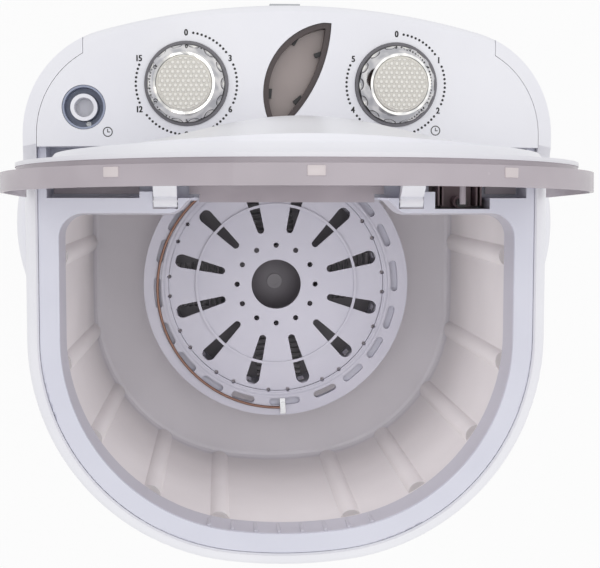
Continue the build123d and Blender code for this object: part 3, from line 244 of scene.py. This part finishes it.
def colour(r, g, b):
    """A colour from its 0 to 255 screen values."""

    def linear(v):
        v /= 255.0
        return v / 12.92 if v <= 0.04045 else ((v + 0.055) / 1.055) ** 2.4

    return linear(r), linear(g), linear(b), 1.0


def plastic_skin(name, roughness=0.28, grain=900.0, depth=0.00002):
    """Moulded plastic without its colour: fine skin grain and uneven gloss."""
    shade = Shade(name)
    skin = shade.noise(grain, 2.0)
    smear = shade.noise(45.0, 4.0, 0.6)
    return shade.set(Roughness=smear * 0.06 + roughness, Normal=shade.bump(skin, depth))


def cloud_mask(shade):
    """Soft clouds about 7 cm across."""
    return shade.noise(14.0, 2.0).ease(0.3, 0.75)


def moulded(name, base, dark, *skin):
    """Moulded plastic with a faint cloudy tone."""
    shade = plastic_skin(name, *skin)
    return shade.set(Base_Color=shade.mix(cloud_mask(shade), dark, base))


def white_plastic():
    return moulded("white_plastic", colour(244, 244, 249), colour(240, 240, 246)).material


def deck_plastic():
    """The deck, with painted shade making the lip inside the mouth darker; the trough behind the hinge keeps
    the plain deck colour.
    """
    shade = plastic_skin("deck_plastic")
    cloud = cloud_mask(shade)
    top = shade.mix(cloud, colour(220, 221, 234), colour(226, 227, 239))
    # Painted shade: darker colours for the lip inside the mouth, below the deck's top and in front of the
    # trough
    lip = shade.mix(cloud, colour(198, 196, 205), colour(204, 202, 211))
    above = shade.axis("Z").ease(*LIP_SHADE_LEVELS)
    behind = shade.axis("Y").over(TROUGH_FRONT)
    return shade.set(Base_Color=shade.mix(above.high(behind), lip, top)).material


def tub_plastic():
    """The tub: warm grey walls, with painted shade making it greyer towards the floor."""
    shade = plastic_skin("tub_plastic", 0.34)
    cloud = cloud_mask(shade)
    wall = shade.mix(cloud, colour(236, 231, 231), colour(242, 237, 237))
    # Painted shade: greyer colours for the tub floor
    floor = shade.mix(cloud, colour(222, 219, 224), colour(227, 224, 229))
    floor_shade_fade = shade.axis("Z").ease(*FLOOR_SHADE_LEVELS)
    return shade.set(Base_Color=shade.mix(floor_shade_fade, floor, wall)).material


def basket_plastic():
    return moulded("basket_plastic", colour(197, 196, 207), colour(190, 189, 201), 0.3).material


def grey_plastic():
    return moulded("grey_plastic", colour(196, 198, 202), colour(188, 190, 194), 0.42).material


def blue_grey_plastic():
    return moulded("blue_grey_plastic", colour(164, 171, 191), colour(154, 161, 182), 0.35).material


def dark_bezel():
    return moulded("dark_bezel", colour(118, 116, 122), colour(104, 102, 108), 0.3).material


def brown_plastic():
    return moulded("brown_plastic", colour(78, 66, 66), colour(64, 54, 54), 0.4).material


def lit_switch_brown():
    """The brown plastic of the lid switch, made paler all over as painted light for the light that falls
    through it.
    """
    return moulded("lit_switch_brown", colour(138, 116, 120), colour(122, 101, 105), 0.35).material


def black_plastic():
    return moulded("black_plastic", colour(22, 20, 24), colour(16, 15, 18), 0.35).material


def timer_plastic():
    return moulded("timer_plastic", colour(222, 218, 205), colour(212, 207, 193), 0.45).material


def dark_grey_plastic():
    return moulded("dark_grey_plastic", colour(138, 134, 139), colour(130, 126, 131), 0.4).material


def black_rubber():
    return moulded("black_rubber", colour(46, 46, 48), colour(36, 36, 38), 0.75, 1500.0, 0.00006).material


def metal(name, base, roughness, grain=0.12, stretch=(1.0, 1.0, 12.0)):
    """A bare metal with fine drawn lines."""
    shade = Shade(name)
    line = shade.noise(900.0, 3.0, 0.6, stretch)
    shade.set(
        Base_Color=base,
        Metallic=1.0,
        Roughness=line * grain + roughness,
        Normal=shade.bump(line, 0.00001),
    )
    return shade.material


def polished_steel():
    return metal("polished_steel", colour(200, 200, 202), 0.16)


def zinc_steel():
    return metal("zinc_steel", colour(186, 188, 190), 0.38)


def cast_aluminium():
    return metal("cast_aluminium", colour(176, 178, 180), 0.5, 0.2, (1.0, 1.0, 1.0))


def bronze_bush():
    return metal("bronze_bush", colour(176, 138, 92), 0.42)


def copper_wire():
    return metal("copper_wire", colour(150, 118, 104), 0.34)


def knob_chrome():
    """Bright plated plastic with soft waviness, and painted reflection: its colour wavers between darker and
    brighter patches.
    """
    shade = Shade("knob_chrome")
    wave_and_painted_reflection = shade.noise(120.0, 1.0)
    shade.set(
        # Painted reflection: darker and brighter patches in the plating's colour
        Base_Color=shade.mix(wave_and_painted_reflection.ease(0.35, 0.65), colour(196, 196, 196), colour(240, 238, 233)),
        Metallic=1.0,
        Roughness=wave_and_painted_reflection * 0.06 + 0.04,
        Normal=shade.bump(wave_and_painted_reflection, 0.0002),
    )
    return shade.material


def grid_distance(shade, pitch, shift):
    """Distance to the nearest point of a grid whose rows are the square root of three pitches apart."""
    across = (shade.axis("X") / pitch + shift).sum("FRACT", 0.0) - 0.5
    along = (shade.axis("Y") / (pitch * sqrt(3)) + shift).sum("FRACT", 0.0) - 0.5
    return (across * across + along * along * 3.0) ** 0.5


def knob_cream():
    """Clear cream plastic over a round field of raised dots in a triangular grid."""
    shade = Shade("knob_cream")
    pitch = 0.0034
    near = grid_distance(shade, pitch, 0.0).low(grid_distance(shade, pitch, 0.5))
    dot = 1.0 - near.ease(0.22, 0.46)
    side = shade.axis("X").sum("ABSOLUTE", 0.0) - (KNOB_X + CAP_LIFT * KNOB_X / CROWN_RADIUS)
    depth = shade.axis("Y") - (KNOB_Y - CAP_LIFT * tan(CROWN_TILT))
    field = 1.0 - ((side * side + depth * depth) ** 0.5).ease(CAP_FIELD - 0.0004, CAP_FIELD + 0.0002)
    tone = shade.mix(dot * field, colour(222, 218, 209), colour(246, 243, 236))
    shade.set(
        Base_Color=shade.mix(field, colour(226, 222, 213), tone),
        Roughness=0.3 - field * 0.06,
        Coat_Weight=0.4,
        Coat_Roughness=0.12,
        Normal=shade.bump(dot * field, 0.0007),
    )
    return shade.material


def smoked_lens():
    """Smoked acrylic with a faint cloudy tone."""
    shade = Shade("smoked_lens")
    cloud = shade.noise(30.0, 2.0)
    shade.set(
        Base_Color=shade.mix(cloud.ease(0.3, 0.7), colour(150, 137, 134), colour(162, 149, 146)),
        Roughness=cloud * 0.05 + 0.3,
        Coat_Weight=0.1,
    )
    return shade.material


def smoky_clear():
    """The lid's pinkish translucent plastic."""
    shade = Shade("smoky_clear")
    cloud = shade.noise(20.0, 2.0)
    skin = shade.noise(700.0, 2.0)
    shade.set(
        Base_Color=shade.mix(cloud.ease(0.3, 0.7), colour(184, 175, 182), colour(196, 187, 194)),
        Roughness=cloud * 0.1 + 0.2,
        Alpha=0.84,
        Normal=shade.bump(skin, 0.00002),
    )
    return shade.material


def smoky_pale():
    """The paler catches of the lid, in the same plastic."""
    return moulded("smoky_pale", colour(219, 210, 211), colour(210, 200, 202), 0.3).material


MAKERS = (
    white_plastic, deck_plastic, tub_plastic, basket_plastic, grey_plastic, blue_grey_plastic, dark_bezel,
    brown_plastic, black_plastic, timer_plastic, dark_grey_plastic, black_rubber, polished_steel, zinc_steel,
    cast_aluminium, bronze_bush, copper_wire, knob_chrome, knob_cream, smoked_lens, smoky_clear, smoky_pale,
    lit_switch_brown,
)
FINISHES = {make.__name__: make() for make in MAKERS}
SLOT_OF = {piece["node"]: piece["material_slot"] for piece in frame["record"]["subparts"]}
BODY_OF = {node: body for body, nodes in frame["record"]["behaviour"]["bodies"].items() for node in nodes}
OWN_FINISH = {"switch_body": "lit_switch_brown"}
SMOOTH_LIMIT = radians(32.0)


def finish_mesh(mesh):
    """Smooth shading that keeps the hard edges."""
    mesh.shade_smooth()
    mesh.set_sharp_from_angle(angle=SMOOTH_LIMIT)


def dress_node(node):
    """A copy of a CAD node, with its true surface normals, that stands for it."""
    source = frame["nodes"][node]
    mesh = source.data.copy()
    mesh.name = node + "_skin"
    mesh.materials.clear()
    mesh.materials.append(FINISHES[OWN_FINISH.get(node, SLOT_OF[node])])
    for layer in list(mesh.uv_layers):
        mesh.uv_layers.remove(layer)
    piece = bpy.data.objects.new(node + "_skin", mesh)
    bpy.context.scene.collection.objects.link(piece)
    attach(piece, BODY_OF[node])
    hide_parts(node)
    return piece


def add_piece(name, shape, slot, body, finish=None):
    """Turns a finished bmesh, already in place, into a piece that rides on a body."""
    mesh = bpy.data.meshes.new(name)
    shape.to_mesh(mesh)
    shape.free()
    mesh.materials.append(FINISHES[finish or slot])
    finish_mesh(mesh)
    piece = bpy.data.objects.new(name, mesh)
    bpy.context.scene.collection.objects.link(piece)
    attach(piece, body)
    return piece


def crown_z(x, y):
    """Height of the crowned control panel."""
    sag = (CROWN_RADIUS - sqrt(CROWN_RADIUS**2 - x**2)) / cos(CROWN_TILT)
    return PANEL_TOP - sag + (y - KNOB_Y) * tan(CROWN_TILT)


def dress_all():
    for node in frame["nodes"]:
        dress_node(node)


def lay_on_panel(shape, lift):
    """Drops flat marks onto the crowned panel."""
    for vert in shape.verts:
        vert.co.z = crown_z(vert.co.x, vert.co.y) + lift + vert.co.z


def join_shape(shape, other, turn):
    """Adds a turned copy of one shape to another and lets the first one go."""
    mesh = bpy.data.meshes.new("part")
    other.to_mesh(mesh)
    other.free()
    mesh.transform(turn)
    shape.from_mesh(mesh)
    bpy.data.meshes.remove(mesh)


def glyphs(text, height):
    """Upright bold figures, flat in the XY plane round the origin."""
    curve = bpy.data.curves.new("figures", "FONT")
    curve.body = text
    curve.size = height * 1.38
    curve.offset = height * 0.028
    curve.align_x = "CENTER"
    curve.align_y = "CENTER"
    curve.space_character = 0.92
    holder = bpy.data.objects.new("figures", curve)
    mesh = bpy.data.meshes.new_from_object(holder)
    shape = bmesh.new()
    shape.from_mesh(mesh)
    bpy.data.objects.remove(holder)
    bpy.data.meshes.remove(mesh)
    low = min(vert.co.y for vert in shape.verts)
    high = max(vert.co.y for vert in shape.verts)
    bmesh.ops.translate(shape, verts=shape.verts, vec=(0, -(low + high) / 2, 0))
    return shape


def dial_marks(name, side, figures):
    """The numbers round a dial and ten dots between each two."""
    shape = bmesh.new()
    centre = Vector((side * KNOB_X, KNOB_Y, 0))
    for i, figure in enumerate(figures):
        angle = radians(90 - FIGURE_ANGLE * i)
        place = centre + Vector((cos(angle), sin(angle), 0)) * MARK_RADIUS
        place.x -= WIDE_SHIFT * (len(figure) - 1)
        squeeze = Matrix.Diagonal((FIGURE_SQUEEZE, 1, 1, 1))
        for shift in (-BOLD_SHIFT, BOLD_SHIFT):
            turn = Matrix.Translation(place + Vector((shift, 0, 0))) @ squeeze
            join_shape(shape, glyphs(figure, MARK_HEIGHT), turn)
        if i == len(figures) - 1:
            break
        for k in range(DOT_COUNT):
            step = angle - radians(FIGURE_ANGLE / 2 + DOT_STEP * (k - (DOT_COUNT - 1) / 2))
            dot = bmesh.new()
            bmesh.ops.create_circle(dot, cap_ends=True, segments=DOT_SIDES, radius=DOT_RADIUS)
            place = centre + Vector((cos(step), sin(step), 0)) * MARK_RADIUS
            join_shape(shape, dot, Matrix.Translation(place))
    print_marks(name, shape)


def print_marks(name, shape):
    """Thin ink on the panel."""
    bmesh.ops.triangulate(shape, faces=shape.faces)
    lay_on_panel(shape, INK_LIFT)
    bmesh.ops.recalc_face_normals(shape, faces=shape.faces)
    if sum(face.normal.z for face in shape.faces) < 0:
        bmesh.ops.reverse_faces(shape, faces=shape.faces)
    add_piece(name, shape, "black_plastic", "cabinet")


def bar(width, height, place):
    """A flat oblong mark."""
    shape = bmesh.new()
    bmesh.ops.create_grid(shape, x_segments=1, y_segments=1, size=0.5)
    bmesh.ops.scale(shape, verts=shape.verts, vec=(width, height, 1))
    bmesh.ops.translate(shape, verts=shape.verts, vec=(*place, 0))
    return shape


def band(outer, inner):
    """A flat ring."""
    shape = bmesh.new()
    rims = []
    for radius in (outer, inner):
        made = bmesh.ops.create_circle(shape, segments=ROUND_SIDES, radius=radius)
        rims.extend({edge for vert in made["verts"] for edge in vert.link_edges})
    bmesh.ops.bridge_loops(shape, edges=rims)
    return shape


def clock_mark(name, x, y):
    """A small clock face with its two hands."""
    place = Matrix.Translation((x, y, 0))
    shape = bmesh.new()
    for piece in (band(*CLOCK_RING), bar(*MINUTE_HAND), bar(*HOUR_HAND)):
        join_shape(shape, piece, place)
    print_marks(name, shape)


def lip_point(x, inset):
    """The front of the body's outline moved in by inset, at a place across it."""
    corner_x, corner_y = FRONT_CORNER
    radius = FRONT_RADIUS - inset
    centre_y = BODY_FRONT + FRONT_RADIUS
    start = radius * abs(corner_x) / hypot(corner_x, centre_y - corner_y)
    if abs(x) < start:
        return centre_y - sqrt(radius**2 - x**2)
    return corner_y - sqrt((FRONT_CORNER_RADIUS - inset) ** 2 - (abs(x) - corner_x) ** 2)


def slim_block(size, place):
    """A little block with softened edges."""
    shape = bmesh.new()
    bmesh.ops.create_cube(shape, size=1.0)
    bmesh.ops.scale(shape, verts=shape.verts, vec=size)
    rounding = {"offset": SOFT_EDGE, "segments": 2, "profile": 0.5, "affect": "EDGES", "material": -1}
    bmesh.ops.bevel(shape, geom=shape.edges, **rounding)
    bmesh.ops.translate(shape, verts=shape.verts, vec=place)
    return shape


def lip_ribs():
    """Eight small upright ribs inside the front of the mouth."""
    shape = bmesh.new()
    for i in range(RIB_COUNT):
        x = RIB_MIDDLE + (i - (RIB_COUNT - 1) / 2) * RIB_PITCH
        y = lip_point(x, MOUTH_INSET + RIB_SINK)
        rib = slim_block((RIB_WIDTH, RIB_DEPTH, RIB_HEIGHT), (x, y, RIB_TOP - RIB_HEIGHT / 2))
        join_shape(shape, rib, Matrix())
    add_piece("lip_ribs", shape, "deck_plastic", "cabinet")


def open_lid(shape):
    """Swings a shape drawn on the closed lid up to the rest place."""
    hinge = Matrix.Translation((0, HINGE_Y, HINGE_Z))
    turn = hinge @ Matrix.Rotation(-LID_ANGLE, 4, "X") @ hinge.inverted()
    bmesh.ops.transform(shape, matrix=turn, verts=shape.verts)


def lid_tabs():
    """Three pale catches that show through the skirt of the lid."""
    shape = bmesh.new()
    for x in CATCH_ACROSS:
        y = lip_point(x, 0.0)
        lean = atan2(lip_point(x + SLOPE_STEP, 0.0) - y, SLOPE_STEP)
        place = Matrix.Translation((x, y, CATCH_Z)) @ Matrix.Rotation(lean, 4, "Z")
        join_shape(shape, slim_block(CATCH_SIZE, (0, 0, 0)), place)
    open_lid(shape)
    add_piece("lid_tabs", shape, "smoky_clear", "lid", "smoky_pale")


def inlet_strainer():
    """The pale strainer at the foot of the inlet stub."""
    shape = bmesh.new()
    bmesh.ops.create_circle(shape, cap_ends=True, segments=ROUND_SIDES, radius=INLET_BORE)
    bmesh.ops.translate(shape, verts=shape.verts, vec=(*INLET_PLACE, STRAINER_Z))
    add_piece("inlet_strainer", shape, "white_plastic", "cabinet")


def stage():
    """Pale floor that keeps a faint shadow."""
    mesh = bpy.data.meshes.new("floor")
    shape = bmesh.new()
    bmesh.ops.create_grid(shape, x_segments=1, y_segments=1, size=FLOOR_SIZE)
    shape.to_mesh(mesh)
    shape.free()
    floor = bpy.data.objects.new("floor", mesh)
    bpy.context.scene.collection.objects.link(floor)
    shade = Shade("floor_paper")
    shade.set(Base_Color=(0.82, 0.82, 0.82, 1.0), Roughness=0.9)
    rays = shade.tree.nodes.new("ShaderNodeLightPath")
    seen = Flow(shade, rays.outputs["Is Camera Ray"]).high(Flow(shade, rays.outputs["Is Glossy Ray"]))
    glow = shade.tree.nodes.new("ShaderNodeEmission")
    glow.inputs[0].default_value = WHITE
    blend = shade.tree.nodes.new("ShaderNodeMixShader")
    shade.feed(blend.inputs[0], seen * FLOOR_GLOW)
    shade.tree.links.new(shade.body.outputs[0], blend.inputs[1])
    shade.tree.links.new(glow.outputs[0], blend.inputs[2])
    shade.tree.links.new(blend.outputs[0], shade.output.inputs[0])
    mesh.materials.append(shade.material)


def world_light():
    """An even pale studio: light on the object, plain white to the camera and in reflections."""
    world = bpy.data.worlds.new("studio")
    bpy.context.scene.world = world
    world.use_nodes = True
    tree = world.node_tree
    ground = tree.nodes["Background"]
    rays = tree.nodes.new("ShaderNodeLightPath")
    either = tree.nodes.new("ShaderNodeMath")
    either.operation = "MAXIMUM"
    tree.links.new(rays.outputs["Is Camera Ray"], either.inputs[0])
    tree.links.new(rays.outputs["Is Glossy Ray"], either.inputs[1])
    level = tree.nodes.new("ShaderNodeMapRange")
    tree.links.new(either.outputs[0], level.inputs[0])
    level.inputs[3].default_value = WORLD_STRENGTH
    level.inputs[4].default_value = 1.0
    ground.inputs[0].default_value = WHITE
    tree.links.new(level.outputs[0], ground.inputs[1])


def glow_lamp(name, place, power):
    """A small round lamp that lights the inside of the tub and isn't seen itself."""
    lamp = bpy.data.lights.new(name, "POINT")
    lamp.shadow_soft_size = GLOW_RADIUS
    lamp.energy = power
    holder = bpy.data.objects.new(name, lamp)
    bpy.context.scene.collection.objects.link(holder)
    holder.location = place
    holder.visible_camera = False
    holder.visible_glossy = False


def soft_lamp(name, place, target, power):
    """A square area lamp that looks at a point."""
    lamp = bpy.data.lights.new(name, "AREA")
    lamp.shape = "RECTANGLE"
    lamp.size, lamp.size_y = LAMP_SIZE
    lamp.energy = power
    holder = bpy.data.objects.new(name, lamp)
    bpy.context.scene.collection.objects.link(holder)
    holder.location = place
    holder.rotation_euler = (Vector(target) - Vector(place)).to_track_quat("-Z", "Y").to_euler()


def camera():
    """The photograph's camera."""
    data = bpy.data.cameras.new("photo_camera")
    data.sensor_fit = "HORIZONTAL"
    data.sensor_width = SENSOR
    data.lens = CAMERA_FOCAL * SENSOR / PHOTO_WIDTH
    holder = bpy.data.objects.new("photo_camera", data)
    bpy.context.scene.collection.objects.link(holder)
    right = CAMERA_RIGHT.normalized()
    back = -CAMERA_FORWARD.normalized()
    up = back.cross(right).normalized()
    turn = Matrix((right, up, back)).transposed().to_4x4()
    holder.matrix_world = Matrix.Translation(CAMERA_PLACE) @ turn
    bpy.context.scene.camera = holder


dress_all()
dial_marks("wash_marks", -1, ("0", "3", "6", "9", "12", "15"))
dial_marks("spin_marks", 1, ("0", "1", "2", "3", "4", "5"))
clock_mark("wash_clock", *WASH_CLOCK)
clock_mark("spin_clock", *SPIN_CLOCK)
lip_ribs()
lid_tabs()
inlet_strainer()
stage()
world_light()
soft_lamp("over", (-0.05, 0.05, 2.6), (-0.05, 0.05, 0.4), 3.8)
soft_lamp("over_right", (0.9, 0.1, 2.4), (0, 0, 0.4), 1.2)
glow_lamp("inside", (0.0, -0.07, 0.40), 0.14)
glow_lamp("inside_right", (0.05, -0.05, 0.40), 0.10)
camera()
bpy.context.scene.view_settings.view_transform = "Standard"
